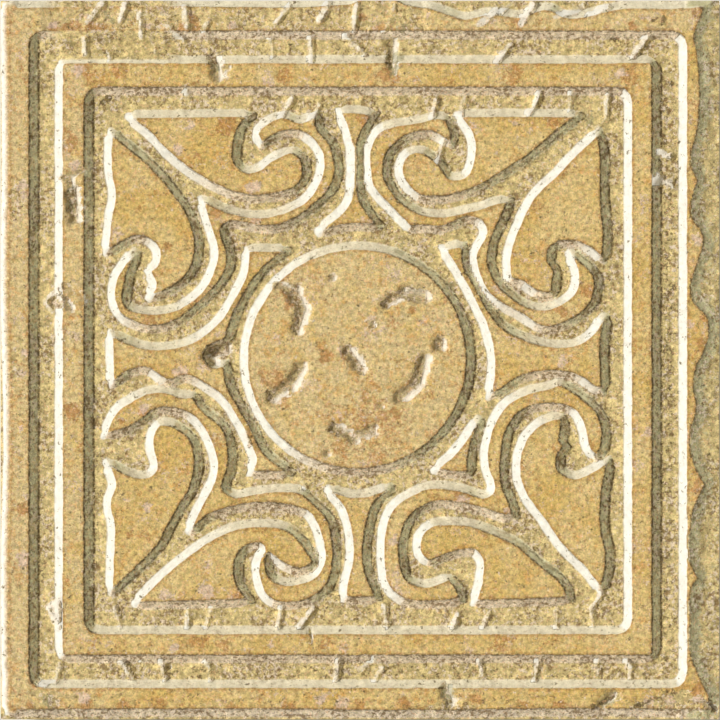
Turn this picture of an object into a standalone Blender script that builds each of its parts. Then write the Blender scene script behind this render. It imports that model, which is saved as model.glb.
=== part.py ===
"""Cement floor tile, 200 mm square: scrolls, a double frame and a plain disc.

The ornament is drawn by its channels. They are sunk about 2.5 mm below the face and
leave flat plateaus between them, so each plateau is given here by its own outline.
All outlines are in millimetres on the face, seen from above, with +Y away from the
bottom edge. The tile lies on z = 0 with its origin under the middle of the square.
"""
from math import cos, pi, sin

import bmesh
import bpy
from mathutils import Vector
from mathutils.geometry import delaunay_2d_cdt, interpolate_bezier
from mathutils.kdtree import KDTree

MM = 0.001
TILE_SIDE = 200.0
TILE_THICKNESS = 16.0
CHANNEL_DEPTH = 2.5
WALL_RUN = 2.9

# How closely the outlines are followed, and how far apart the other mesh points lie.
CURVE_FINENESS = 0.3
CURVE_STEP = 1.9
STRAIGHT_STEP = 6.0
SIDE_STEP = 5.0
ARRIS_SPACING = 0.25
FOOT_SPACING = 1.3
FOOT_CLEARANCE = 0.7
SIDE_CLEARANCE = 0.6
WALL_FREE_SHARE = 0.96
HALVINGS = 7
TIP_SPREAD = 0.7
ON_ARRIS = 0.2
WEB_REACH = 0.5
MERGE_DISTANCE = 0.0001

DISC_CENTRE = (-0.8, 0.3)
DISC_RADIUS = 30.3
DISC_POINTS = 72

# Left, right, bottom and top of each frame line, measured from the middle.
OUTER_CHANNEL_OUTSIDE = (-92.2, 91.1, -91.4, 91.7)
OUTER_CHANNEL_INSIDE = (-82.6, 81.1, -81.9, 82.4)
INNER_CHANNEL_OUTSIDE = (-76.9, 75.8, -76.4, 76.1)
CHANNEL_CORNER_RADIUS = 4.2
BAND_CORNER_RADIUS = 0.6

# The left end of the top margin is worn down; this is how far and where.
WORN_MARGIN_DROP = 1.0
WORN_MARGIN_SPAN = (-89.0, 19.0)
WORN_MARGIN_BELOW = 91.0
WORN_MARGIN_FADE = 4.0
WORN_MARGIN_LIP = 0.5

CEMENT_COLOUR = (0.60, 0.43, 0.18, 1.0)
CEMENT_ROUGHNESS = 0.92

# An outline is a chain of runs. A run is a smooth curve through its points, and the
# points where two runs meet are corners.

# The worn outer edge of the face: top, right (with its scallops), bottom and left.
FACE_EDGE = (
    ((-97.8, 97.8), (-60, 98.3), (-20, 98), (17, 98), (23, 96.5), (28.5, 94.6), (36, 95.8),
     (46, 95.3), (51.5, 97.4), (57, 95), (66, 96), (72, 97.4), (88, 97.5), (95.8, 98.2)),
    ((95.8, 98.2), (94.2, 94.6), (92.8, 90.6), (93.8, 84), (93.9, 65), (92, 54.2), (93.9, 50)),
    ((93.9, 50), (92, 43), (92.1, 40), (95.4, 34.6), (93.9, 27), (91.9, 20.5), (92.6, 16.4),
     (96.6, 11.6), (96.4, 4.5), (93.2, -2.5), (92.7, -7), (93.4, -13.5), (91.9, -20),
     (92, -26), (95.8, -34.8)),
    ((95.8, -34.8), (92.5, -42), (91.7, -50), (91.7, -56), (93.9, -60.6)),
    ((93.9, -60.6), (92.2, -63), (91.8, -66), (91.8, -73), (91.9, -82), (94.4, -88.5),
     (97, -94.5), (97.2, -97.2)),
    ((97.2, -97.2), (60, -96.8), (20, -97.2), (-30, -96.9), (-97.2, -97.1)),
    ((-97.2, -97.1), (-97.6, -60), (-96.9, -20), (-97.7, 20), (-97.3, 60), (-97.8, 97.8)),
)

# The curled bands between the arms of the four corner scrolls and their outer collars.
TOP_LEFT_COLLAR = (
    ((-63.3, 28.6), (-65.6, 22.8), (-66.1, 19.4), (-66.5, 16.7), (-65.6, 14.7), (-59.7, 12.6),
     (-52.5, 13.1), (-42.5, 20.3), (-39.4, 28.1), (-42.2, 40.6), (-43.1, 43.6)),
    ((-43.1, 43.6), (-37.8, 41.1), (-26.1, 39.4), (-12.5, 46.4), (-10, 57.2), (-17.2, 64.2),
     (-22.8, 63.6), (-27.2, 60.8)),
    ((-27.2, 60.8), (-28.1, 62.8), (-24.4, 66.1), (-21.7, 67.2), (-16.7, 65.6), (-12.8, 67.2)),
    ((-12.8, 67.2), (-12.5, 64.7), (-8.9, 60.3), (-7.5, 50.6), (-14.2, 42.5), (-26.1, 37.5),
     (-31.9, 38.5), (-36.9, 38.8), (-38.9, 37.2), (-39.2, 35.3), (-38.3, 33.1), (-37.2, 28.6),
     (-47.5, 14.2), (-50, 12.2), (-59.4, 9.9), (-67.2, 14.4), (-67.8, 20.8), (-63.3, 28.6)),
)
TOP_RIGHT_COLLAR = (
    ((59.4, 28.6), (60.8, 25.6), (60.3, 18.6), (51.1, 13.6), (35.3, 26.7), (36.1, 33.6),
     (37.5, 36.7), (40.6, 43.6)),
    ((40.6, 43.6), (37.5, 43.1), (33.6, 41.7), (29.4, 40.8), (25, 39.7), (16.7, 40.3),
     (6.1, 52.8), (7.8, 58.9), (10, 60.8), (12.8, 62.8), (19.4, 63.9), (25, 61.1)),
    ((25, 61.1), (24.7, 63.9), (23.6, 66.7)),
    ((23.6, 66.7), (21.4, 66.9), (18.1, 66.1), (10, 64.7), (6.7, 63.9), (3.3, 59.2),
     (3.1, 52.8), (3.6, 49.7), (9.7, 42.2), (14.2, 37.5)),
    ((14.2, 37.5), (17.5, 37.8), (21.1, 37.5), (24.7, 38.1), (30.6, 40.3), (34.9, 38.1),
     (35.6, 35.8), (32.5, 28.3), (33.1, 25.6), (35.8, 19.4), (46.7, 12.2), (49.4, 10.3),
     (52.5, 9.4), (55.8, 10.3), (64.2, 16.9), (64.4, 23.9), (61.9, 26.4), (59.4, 28.6)),
)
BOTTOM_LEFT_COLLAR = (
    ((-26.1, -53.3), (-26.4, -58.9), (-24.7, -61.4), (-10.6, -58.9), (-9.4, -55.6),
     (-9.7, -51.7), (-15, -41.4), (-18.6, -40.3), (-36.1, -40.6), (-43.6, -43.6),
     (-46.4, -46.4)),
    ((-46.4, -46.4), (-45, -43.3), (-39.4, -28.9), (-40.3, -24.7), (-47.5, -14.4),
     (-57.5, -13.6), (-60.3, -15.8), (-63.9, -18.1), (-70, -20)),
    ((-70, -20), (-66.7, -13.9), (-63.6, -11.9), (-56.7, -9.2), (-53.1, -9.7), (-49.7, -10.8),
     (-46.7, -10.6)),
    ((-46.7, -10.6), (-45.3, -13.1), (-38.3, -19.7), (-37.2, -23.1), (-37.2, -30.3),
     (-38.6, -35.6), (-36.9, -37.8), (-34.2, -38.6), (-30.6, -37.8), (-22.2, -36.9),
     (-16.4, -37.5), (-14.4, -39.2), (-9.4, -44.4), (-7.8, -51.9), (-10.6, -63.9),
     (-17.2, -66.9), (-24.4, -66.4), (-27.2, -55), (-26.1, -53.3)),
)
BOTTOM_RIGHT_COLLAR = (
    ((65.8, -26.1), (63.9, -23.9), (63.3, -20.3), (60, -13.6), (52.8, -11.7), (43.3, -15),
     (41.4, -17.8), (39.7, -21.1), (39.2, -24.7), (39.4, -35.6), (40.8, -38.9), (42.2, -42.8)),
    ((42.2, -42.8), (39.7, -42.8), (36.7, -41.7), (25.6, -39.2), (22.2, -38.9), (13.6, -43.3),
     (10.6, -52.8), (13.3, -61.9), (16.4, -63.3), (24.7, -61.4)),
    ((24.7, -61.4), (26.4, -63.6), (27.5, -66.1)),
    ((27.5, -66.1), (19.4, -66.7), (12.2, -66.1), (7.8, -61.9), (7.2, -58.3), (11.1, -40),
     (14.2, -38.1), (17.8, -36.4), (28.6, -36.9), (35, -38.6), (37.2, -37.5), (37.8, -35),
     (36.7, -31.9), (35.8, -28.6), (36.4, -21.9), (41.1, -12.8), (47.5, -9.4), (51.7, -8.6),
     (55.8, -7.2)),
    ((55.8, -7.2), (66.9, -18.1), (66.7, -24.2), (65.8, -26.1)),
)

# The fields at the sides, tops and bottoms of the four scrolls, with their curled ends.
TOP_LEFT_SIDE = (
    ((-68.6, 62.2), (-65.6, 59.4), (-61.9, 56.7), (-53.3, 47.5), (-48.3, 40.3), (-46.1, 31.9),
     (-47.8, 25), (-57.5, 18.3)),
    ((-57.5, 18.3), (-56.4, 20.8), (-58.1, 24.4)),
    ((-58.1, 24.4), (-56.1, 26.1), (-55.6, 31.1), (-60, 34.7), (-69.7, 31.1)),
    ((-69.7, 31.1), (-68.9, 38.9), (-67.8, 47.2), (-68.6, 50.6), (-68.6, 62.2)),
)
TOP_LEFT_TOP = (
    ((-62.8, 67.2), (-31.7, 67.5)),
    ((-31.7, 67.5), (-33.6, 65.8), (-34.7, 63.3), (-34.7, 53.9), (-32.5, 51.9), (-27.2, 52.8),
     (-25, 54.7), (-19.2, 57.5)),
    ((-19.2, 57.5), (-17.2, 56.4), (-16.4, 50.8), (-29.7, 46.1), (-41.1, 49.7), (-52.2, 57.5),
     (-59.4, 64.7), (-62.8, 67.2)),
)
TOP_RIGHT_SIDE = (
    ((66.1, 62.2), (58.3, 54.7), (55.3, 51.4), (49.2, 45.6), (44.7, 37.2), (41.9, 27.2),
     (42.2, 23.1)),
    ((42.2, 23.1), (44.7, 22.5), (50, 19.2), (53.1, 18.9)),
    ((53.1, 18.9), (53.3, 21.9), (53.6, 25), (51.9, 27.2)),
    ((51.9, 27.2), (51.9, 30.3), (53.6, 32.5), (59.2, 33.6), (67.2, 29.2)),
    ((67.2, 29.2), (67.5, 33.3), (66.7, 44.4), (66.7, 55.6), (66.1, 62.2)),
)
TOP_RIGHT_TOP = (
    ((59.4, 67.5), (56.7, 65.6), (44.2, 55.6), (21.1, 45.8), (17.2, 46.1), (11.9, 53.6),
     (13.1, 56.4), (15.6, 57.5), (22.5, 52.8), (24.2, 50.3), (30, 50.8), (32.2, 57.2),
     (32.2, 61.1), (28.6, 67.5)),
    ((28.6, 67.5), (59.4, 67.5)),
)
BOTTOM_LEFT_SIDE = (
    ((-68.6, -63.3), (-68.3, -54.2), (-68.3, -44.4), (-69.2, -41.1), (-68.9, -38.1),
     (-67.8, -35.6), (-69.4, -29.7)),
    ((-69.4, -29.7), (-63.1, -32.8), (-59.2, -33.1), (-56.7, -31.4), (-56.1, -28.9),
     (-57.5, -23.9), (-57.2, -21.1), (-55.6, -18.3)),
    ((-55.6, -18.3), (-52.8, -18.6), (-48.1, -21.7), (-48.1, -36.4), (-50.3, -40),
     (-54.4, -47.2), (-56.1, -50.8), (-58.9, -53.9), (-68.6, -63.3)),
)
BOTTOM_LEFT_BOTTOM = (
    ((-61.1, -67.2), (-51.7, -58.1), (-30.6, -46.7), (-25.8, -46.7), (-21.7, -47.2),
     (-13.3, -56.1)),
    ((-13.3, -56.1), (-15.6, -57.5), (-25, -53.1), (-27.2, -50.8), (-32.8, -51.9), (-35, -61.4),
     (-31.9, -66.4)),
    ((-31.9, -66.4), (-61.1, -67.2)),
)
BOTTOM_RIGHT_SIDE = (
    ((55.6, -16.7), (52.5, -17.2), (46.9, -21.7), (45, -33.1), (48.1, -39.7), (50.6, -42.8),
     (55.6, -50), (65, -60), (66.9, -62.8)),
    ((66.9, -62.8), (68.1, -52.5), (67.2, -49.2), (68.3, -29.2)),
    ((68.3, -29.2), (63.3, -32.2), (60, -33.3), (54.7, -30.6), (55, -25.6), (56.4, -24.2)),
    ((56.4, -24.2), (55, -22.2), (55.6, -19.7), (55.6, -16.7)),
)
BOTTOM_RIGHT_BOTTOM = (
    ((57.5, -65.8), (56.4, -63.3), (48.3, -56.1), (45.3, -53.3), (35.3, -48.1), (31.4, -46.7),
     (23.6, -46.1), (20.3, -46.4), (18.1, -48.1), (17.2, -53.6), (19.4, -55.6)),
    ((19.4, -55.6), (25.8, -53.1), (32.5, -52.8), (34.2, -55), (34.2, -61.7), (32.8, -66.7)),
    ((32.8, -66.7), (57.5, -65.8)),
)

# The waisted vases between the scrolls. The side ones carry long spurs along the ring.
TOP_VASE = (
    ((-4.7, 68.6), (-1.4, 68.6), (2.8, 67.8)),
    ((2.8, 67.8), (-1.1, 60.3), (-1.2, 56.9), (0.3, 42.8), (3.9, 38.1)),
    ((3.9, 38.1), (-5.6, 37.8), (-10, 36.4)),
    ((-10, 36.4), (-1.9, 45.3), (-1.7, 48.6), (-1.9, 60.3), (-4.7, 68.6)),
)
BOTTOM_VASE = (
    ((-7.5, -36.9), (-4.2, -38.1), (2.8, -38.1), (7.2, -36.4)),
    ((7.2, -36.4), (4.7, -38.3), (1.1, -47.5), (1.1, -58.6), (3.9, -65.6)),
    ((3.9, -65.6), (-3.6, -65.8)),
    ((-3.6, -65.8), (-3.3, -62.5), (-1.7, -55.3), (-2.2, -47.2), (-4.7, -40), (-7.5, -36.9)),
)
LEFT_VASE = (
    ((-30.6, 30), (-21.9, 30)),
    ((-21.9, 30), (-24.4, 28.3), (-36.7, 9.7), (-37.8, 6.1)),
    ((-37.8, 6.1), (-40.8, 5), (-43.3, 3.6), (-42.5, -1.7), (-40.6, -2.5), (-38.1, -1.9)),
    ((-38.1, -1.9), (-37.8, -5), (-31.7, -17.2), (-26.4, -26.7), (-21.1, -30.8)),
    ((-21.1, -30.8), (-29.4, -30.8)),
    ((-29.4, -30.8), (-28.6, -28.1), (-30.6, -22.2), (-34.4, -15), (-38.6, -9.2), (-41.1, -7.5),
     (-48.9, -3.9), (-53.1, -5.3), (-59.2, -1.7), (-66.9, -4.2), (-68.3, -5.6)),
    ((-68.3, -5.6), (-68.6, 6.4)),
    ((-68.6, 6.4), (-61.9, 3.3), (-46.9, 4.4), (-40.6, 8.6), (-33.1, 19.7), (-31.7, 22.5),
     (-30.6, 30)),
)
RIGHT_VASE = (
    ((24.2, 30.6), (28.1, 31.1)),
    ((28.1, 31.1), (28.9, 25), (30.6, 22.1), (35, 14.4), (37.2, 10.8), (44.4, 5.8), (56.9, 3.3),
     (60.6, 3.9), (66.1, 8.1), (67.5, 10.6)),
    ((67.5, 10.6), (66.9, 6.9), (66.9, -7.8)),
    ((66.9, -7.8), (64.4, -6.4), (61.7, -4.4), (51.4, -2.8), (43.6, -4.7), (40.3, -6.9),
     (36.9, -8.9)),
    ((36.9, -8.9), (37.8, -1.7), (29.7, 21.8), (24.2, 30.6)),
)
RIGHT_SPUR = (
    ((32.5, -18.1), (30, -25.3), (29.7, -31.1)),
    ((29.7, -31.1), (22.2, -30.3)),
    ((22.2, -30.3), (27.2, -25.8), (32.5, -18.1)),
)

SCROLL_PLATEAUS = (
    TOP_LEFT_COLLAR, TOP_RIGHT_COLLAR, BOTTOM_LEFT_COLLAR, BOTTOM_RIGHT_COLLAR,
    TOP_LEFT_SIDE, TOP_LEFT_TOP, TOP_RIGHT_SIDE, TOP_RIGHT_TOP,
    BOTTOM_LEFT_SIDE, BOTTOM_LEFT_BOTTOM, BOTTOM_RIGHT_SIDE, BOTTOM_RIGHT_BOTTOM,
    TOP_VASE, BOTTOM_VASE, LEFT_VASE, RIGHT_VASE, RIGHT_SPUR,
)


def run_tangents(knots):
    """The slope of a smooth curve at each knot of a run, and the lengths between knots."""
    lengths = [(b - a).length for a, b in zip(knots, knots[1:])]
    slopes = [(b - a) / length for a, b, length in zip(knots, knots[1:], lengths)]
    inner = []
    for i in range(len(slopes) - 1):
        blend = slopes[i + 1] * lengths[i] + slopes[i] * lengths[i + 1]
        inner.append(blend / (lengths[i] + lengths[i + 1]))
    first = slopes[0] * 1.5 - inner[0] * 0.5
    last = slopes[-1] * 1.5 - inner[-1] * 0.5
    return [first] + inner + [last], lengths


def fine_run(run):
    """The run as a dense line of short straight pieces."""
    knots = [Vector(point) for point in run]
    if len(knots) == 2:
        return knots
    tangents, lengths = run_tangents(knots)
    line = [knots[0]]
    for i, length in enumerate(lengths):
        start, end = knots[i], knots[i + 1]
        handle_out = start + tangents[i] * length / 3
        handle_in = end - tangents[i + 1] * length / 3
        steps = max(4, int(length / CURVE_FINENESS))
        curve = interpolate_bezier(
            start.to_3d(), handle_out.to_3d(), handle_in.to_3d(), end.to_3d(), steps)
        line.extend(point.to_2d() for point in curve[1:])
    return line


def even_points(line, step):
    """Points spaced evenly along a line, without its last point."""
    lengths = [(b - a).length for a, b in zip(line, line[1:])]
    total = sum(lengths)
    count = max(1, round(total / step))
    points = []
    piece = 0
    passed = 0.0
    for k in range(count):
        target = total * k / count
        while passed + lengths[piece] < target:
            passed += lengths[piece]
            piece += 1
        share = (target - passed) / lengths[piece]
        points.append(line[piece].lerp(line[piece + 1], share))
    return points


def closed_pairs(points):
    """Each point of a closed outline with the one after it."""
    return zip(points, points[1:] + points[:1])


def outline_points(runs):
    """A plateau's closed outline as points, counter-clockwise."""
    points = []
    for run in runs:
        step = STRAIGHT_STEP if len(run) == 2 else CURVE_STEP
        points.extend(even_points(fine_run(run), step))
    area = sum(a.x * b.y - a.y * b.x for a, b in closed_pairs(points))
    return points if area > 0 else points[::-1]


def divided(corners, step):
    """The closed outline through the corners, with its sides cut into even pieces."""
    points = []
    for a, b in closed_pairs(corners):
        pieces = max(1, round((b - a).length / step))
        points.extend(a.lerp(b, k / pieces) for k in range(pieces))
    return points


def rounded_square(sides, radius):
    """A frame line: a square with round corners, counter-clockwise."""
    left, right, bottom, top = sides
    centres = (
        (right - radius, top - radius), (left + radius, top - radius),
        (left + radius, bottom + radius), (right - radius, bottom + radius),
    )
    corner_steps = max(2, round(radius * pi / 2 / CURVE_STEP))
    corners = []
    for quarter, (x, y) in enumerate(centres):
        for k in range(corner_steps + 1):
            angle = (quarter + k / corner_steps) * pi / 2
            corners.append(Vector((x + radius * cos(angle), y + radius * sin(angle))))
    return divided(corners, STRAIGHT_STEP)


def tile_square():
    """The tile's four straight sides, counter-clockwise."""
    half = TILE_SIDE / 2
    corners = [(-half, -half), (half, -half), (half, half), (-half, half)]
    return divided([Vector(corner) for corner in corners], SIDE_STEP)


def disc_outline():
    x, y = DISC_CENTRE
    angles = [2 * pi * k / DISC_POINTS for k in range(DISC_POINTS)]
    return [Vector((x + DISC_RADIUS * cos(a), y + DISC_RADIUS * sin(a))) for a in angles]


def face_outlines():
    """Every arris loop, with +1 where the plateau lies inside it and -1 where outside."""
    loops = [
        (outline_points(FACE_EDGE), 1),
        (rounded_square(OUTER_CHANNEL_OUTSIDE, CHANNEL_CORNER_RADIUS), -1),
        (rounded_square(OUTER_CHANNEL_INSIDE, BAND_CORNER_RADIUS), 1),
        (rounded_square(INNER_CHANNEL_OUTSIDE, CHANNEL_CORNER_RADIUS), -1),
        (disc_outline(), 1),
    ]
    loops.extend((outline_points(runs), 1) for runs in SCROLL_PLATEAUS)
    return loops


def arris_tree(loops):
    """A search tree over points set densely along every arris."""
    dense = []
    for points, _ in loops:
        dense.extend(divided(points, ARRIS_SPACING))
    tree = KDTree(len(dense))
    for index, point in enumerate(dense):
        tree.insert(point.to_3d(), index)
    tree.balance()
    return tree


def arris_distance(tree, point):
    return tree.find(point.to_3d())[2]


def is_free(tree, point, direction, run):
    """Whether a wall can run this far from its arris before it meets another wall."""
    return arris_distance(tree, point + direction * run) >= WALL_FREE_SHARE * run


def foot_of_wall(tree, point, direction):
    """Where the wall that starts at an arris point meets the floor or the wall opposite."""
    if is_free(tree, point, direction, WALL_RUN):
        return point + direction * WALL_RUN
    low = 0.0
    high = WALL_RUN
    for _ in range(HALVINGS):
        middle = (low + high) / 2
        if is_free(tree, point, direction, middle):
            low = middle
        else:
            high = middle
    return point + direction * low


def wall_directions(points, i, side):
    """The ways that walls fall from an outline point: one, or a fan of three at a sharp tip."""
    before = (points[i] - points[i - 1]).normalized()
    after = (points[(i + 1) % len(points)] - points[i]).normalized()
    along = [(before + after).normalized()]
    if before.cross(after) * side > TIP_SPREAD:
        along.extend((before, after))
    return [Vector((way.y, -way.x)) * side for way in along]


def foot_points(loops, tree):
    """Points along the foot of every wall, thinned where walls crowd together."""
    limit = TILE_SIDE / 2 - SIDE_CLEARANCE
    kept = []
    for points, side in loops:
        for i, point in enumerate(points):
            for direction in wall_directions(points, i, side):
                foot = foot_of_wall(tree, point, direction)
                if abs(foot.x) > limit or abs(foot.y) > limit:
                    continue
                if arris_distance(tree, foot) < FOOT_CLEARANCE:
                    continue
                if all((foot - other).length > FOOT_SPACING for other in kept):
                    kept.append(foot)
    return kept


def is_plateau(loops, place):
    """Whether a place on the face lies inside an odd number of arris loops."""
    inside = False
    for points, _ in loops:
        for a, b in closed_pairs(points):
            if (a.y > place.y) != (b.y > place.y):
                if place.x < a.x + (b.x - a.x) * (place.y - a.y) / (b.y - a.y):
                    inside = not inside
    return inside


def web_points(found, triangles, loops, tree):
    """Middles of the triangles that would bridge a channel level with the plateaus."""
    webs = []
    for triangle in triangles:
        corners = [found[index] for index in triangle]
        middle = (corners[0] + corners[1] + corners[2]) / 3
        bridges = all(arris_distance(tree, corner) < ON_ARRIS for corner in corners)
        if bridges and arris_distance(tree, middle) > WEB_REACH:
            if not is_plateau(loops, middle):
                webs.append(middle)
    return webs


def triangulate_face(loops, tree):
    """The face as flat points and triangles, with every arris kept as an edge."""
    points = []
    edges = []
    for loop in [tile_square()] + [loop for loop, _ in loops]:
        first = len(points)
        points.extend(loop)
        edges.extend((first + i, first + (i + 1) % len(loop)) for i in range(len(loop)))
    points.extend(foot_points(loops, tree))
    while True:
        found, _, triangles, _, _, _ = delaunay_2d_cdt(points, edges, [], 0, MERGE_DISTANCE)
        webs = web_points(found, triangles, loops, tree)
        if not webs:
            return found, triangles
        points.extend(webs)


def margin_wear(place):
    """How far the worn end of the top margin lies below the rest of the face."""
    start, end = WORN_MARGIN_SPAN
    along = min(place.x - start, end - place.x) / WORN_MARGIN_FADE
    across = (place.y - WORN_MARGIN_BELOW) / WORN_MARGIN_LIP
    return WORN_MARGIN_DROP * max(0.0, min(1.0, along)) * max(0.0, min(1.0, across))


def face_height(tree, place):
    drop = CHANNEL_DEPTH * min(1.0, arris_distance(tree, place) / WALL_RUN)
    return TILE_THICKNESS - max(drop, margin_wear(place))


def make_tile():
    loops = face_outlines()
    tree = arris_tree(loops)
    points, triangles = triangulate_face(loops, tree)
    shape = bmesh.new()
    verts = [shape.verts.new((p.x * MM, p.y * MM, face_height(tree, p) * MM)) for p in points]
    for triangle in triangles:
        shape.faces.new([verts[index] for index in triangle])
    rim = [edge for edge in shape.edges if edge.is_boundary]
    skirt = bmesh.ops.extrude_edge_only(shape, edges=rim)["geom"]
    for vert in [item for item in skirt if isinstance(item, bmesh.types.BMVert)]:
        vert.co.z = 0.0
    underside = [edge for edge in shape.edges if edge.is_boundary]
    bmesh.ops.contextual_create(shape, geom=underside)
    bmesh.ops.triangulate(shape, faces=[face for face in shape.faces if len(face.verts) > 3])
    bmesh.ops.recalc_face_normals(shape, faces=shape.faces)
    mesh = bpy.data.meshes.new("cement_tile")
    shape.to_mesh(mesh)
    shape.free()
    tile = bpy.data.objects.new("cement_tile", mesh)
    bpy.context.scene.collection.objects.link(tile)
    return tile


def cement_material():
    material = bpy.data.materials.new("ochre_cement")
    material.use_nodes = True
    surface = material.node_tree.nodes["Principled BSDF"]
    surface.inputs["Base Color"].default_value = CEMENT_COLOUR
    surface.inputs["Roughness"].default_value = CEMENT_ROUGHNESS
    surface.inputs["Metallic"].default_value = 0.0
    return material


for leftover in list(bpy.data.objects):
    bpy.data.objects.remove(leftover)

cement_tile = make_tile()
cement_tile.data.materials.append(cement_material())
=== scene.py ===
"""A carved cement floor tile, lying on a pale floor and seen from straight above."""
from math import cos, exp, radians, sin

import bmesh
import bpy
from mathutils import Matrix, Vector, noise
from mathutils.bvhtree import BVHTree
from mathutils.geometry import intersect_point_line
from mathutils.kdtree import KDTree


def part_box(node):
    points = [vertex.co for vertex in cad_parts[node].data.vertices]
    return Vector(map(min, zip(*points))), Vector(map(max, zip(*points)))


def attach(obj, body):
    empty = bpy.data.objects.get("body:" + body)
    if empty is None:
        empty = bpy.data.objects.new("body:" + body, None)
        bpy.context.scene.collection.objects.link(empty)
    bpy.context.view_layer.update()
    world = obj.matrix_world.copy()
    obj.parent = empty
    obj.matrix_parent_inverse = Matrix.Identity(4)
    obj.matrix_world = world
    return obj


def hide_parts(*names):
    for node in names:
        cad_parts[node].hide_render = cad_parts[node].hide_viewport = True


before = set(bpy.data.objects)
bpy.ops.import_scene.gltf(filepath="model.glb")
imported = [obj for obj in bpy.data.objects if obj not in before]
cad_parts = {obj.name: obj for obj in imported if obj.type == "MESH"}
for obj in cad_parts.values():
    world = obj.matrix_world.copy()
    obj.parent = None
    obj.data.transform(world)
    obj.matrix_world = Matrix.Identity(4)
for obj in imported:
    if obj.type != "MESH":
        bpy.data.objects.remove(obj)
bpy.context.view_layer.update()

# The tile: one slab of sand and cement coloured with ochre, cast in a square mould. Its
# channels were cut by hand before it was hard, so their walls waver and their floors are
# rough. Its lengths are in millimetres, and the finished mesh is scaled to metres.
MM = 0.001
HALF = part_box("cement_tile")[1].x / MM
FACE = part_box("cement_tile")[1].z / MM
SAME_POINT = 0.001
WORN_MARGIN = 91.0
WORN_DROP = 1.0
LEVEL_TOLERANCE = 0.02
FLAT_NORMAL = 0.9

solid = bmesh.new()
solid.from_mesh(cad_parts["cement_tile"].data)
bmesh.ops.remove_doubles(solid, verts=solid.verts, dist=SAME_POINT * MM)
solid.transform(Matrix.Scale(1 / MM, 4))
solid.normal_update()


def is_plateau(face):
    """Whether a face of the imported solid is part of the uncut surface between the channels."""
    if face.normal.z < FLAT_NORMAL:
        return False
    worn = all(vert.co.y > WORN_MARGIN for vert in face.verts)
    level = FACE - (WORN_DROP if worn else 0.0) - LEVEL_TOLERANCE
    return all(vert.co.z > level for vert in face.verts)


plateaus = {face.index for face in solid.faces if is_plateau(face)}
relief_surface = BVHTree.FromBMesh(solid)

# An arris is the sharp edge between the uncut surface and the wall of a channel. It is
# marked here at short steps, and each mark has the number of its edge.
ARRIS_SPACING = 0.4
UPWARD_NORMAL = 0.1
arris_edges = []
for edge in solid.edges:
    sides = [face.index in plateaus for face in edge.link_faces]
    if sides.count(True) == 1 and all(face.normal.z > UPWARD_NORMAL for face in edge.link_faces):
        arris_edges.append((edge.verts[0].co.to_2d(), edge.verts[1].co.to_2d()))
arris_marks = []
for number, (a, b) in enumerate(arris_edges):
    pieces = max(1, round((b - a).length / ARRIS_SPACING))
    arris_marks.extend((a.lerp(b, k / pieces), number) for k in range(pieces + 1))
arris_tree = KDTree(len(arris_marks))
for index, (place, _) in enumerate(arris_marks):
    arris_tree.insert(place.to_3d(), index)
arris_tree.balance()


def foot_on(place, a, b):
    """The point of the straight line from a to b that is nearest to a place."""
    if a == b:
        return a
    foot, share = intersect_point_line(place, a, b)
    if share <= 0:
        return a
    return b if share >= 1 else foot.to_2d()


SHARPEST_MITRE = 0.62
MARKS_TRIED = 4
EQUALLY_NEAR = 0.01


def nearest_arris(place):
    """How far away the nearest arris is, and its nearest point.

    Beyond a corner the distance is taken to its two sides' lines, so that the wall below a
    pointed tip has a ridge, as two straight cuts leave it, and isn't a cone.
    """
    found = []
    for _, index, _ in arris_tree.find_n(place.to_3d(), MARKS_TRIED):
        a, b = arris_edges[arris_marks[index][1]]
        foot = foot_on(place, a, b)
        along = (b - a).normalized()
        off_line = abs(along.cross(place - a))
        found.append(((place - foot).length, off_line, foot))
    reach, _, foot = min(found, key=lambda item: item[0])
    mitred = max(off_line for near, off_line, _ in found if near < reach + EQUALLY_NEAR)
    return max(mitred, SHARPEST_MITRE * reach), foot


TIP_PROBE = 0.6
STRAIGHT_SHARE = 0.75
TIP_RANGE = 0.35


def tip_share(place, reach):
    """How pointed the arris is nearest a place: 0 where it is straight, 1 at a tip.

    Beside a straight arris a circle that reaches a little past it holds a known length of
    it, and at a tip the circle holds much less.
    """
    circle = reach + TIP_PROBE
    marks = arris_tree.find_range(place.to_3d(), circle)
    edges = {arris_marks[index][1] for _, index, _ in marks}
    steps_held = len(marks) - len(edges)
    straight_steps = 2 * (circle ** 2 - reach ** 2) ** 0.5 / ARRIS_SPACING
    return max(0.0, min(1.0, (STRAIGHT_SHARE - steps_held / straight_steps) / TIP_RANGE))


PROBE_HEIGHT = 5
JUST_INSIDE = 0.9999


def on_plateau(place):
    """Whether the uncut surface lies under a place, which is kept off the tile's very rim."""
    start = Vector((place.x * JUST_INSIDE, place.y * JUST_INSIDE, FACE + PROBE_HEIGHT))
    hit = relief_surface.ray_cast(start, Vector((0, 0, -1)))
    return hit[2] in plateaus


# The face is a fine grid whose points beside an arris are moved onto it.
FACE_CELLS = 300
tile_mesh = bmesh.new()
bmesh.ops.create_grid(tile_mesh, x_segments=FACE_CELLS, y_segments=FACE_CELLS, size=HALF)
tile_mesh.verts.ensure_lookup_table()
uncut = [on_plateau(vert.co) for vert in tile_mesh.verts]
nearest = [nearest_arris(vert.co.to_2d()) for vert in tile_mesh.verts]
on_arris = set()
for edge in tile_mesh.edges:
    a, b = (vert.index for vert in edge.verts)
    if uncut[a] != uncut[b]:
        near = a if nearest[a][0] < nearest[b][0] else b
        if not tile_mesh.verts[near].is_boundary:
            on_arris.add(near)
for index in on_arris:
    tile_mesh.verts[index].co.xy = nearest[index][1]
bmesh.ops.connect_verts(tile_mesh, verts=[tile_mesh.verts[index] for index in sorted(on_arris)])

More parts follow.
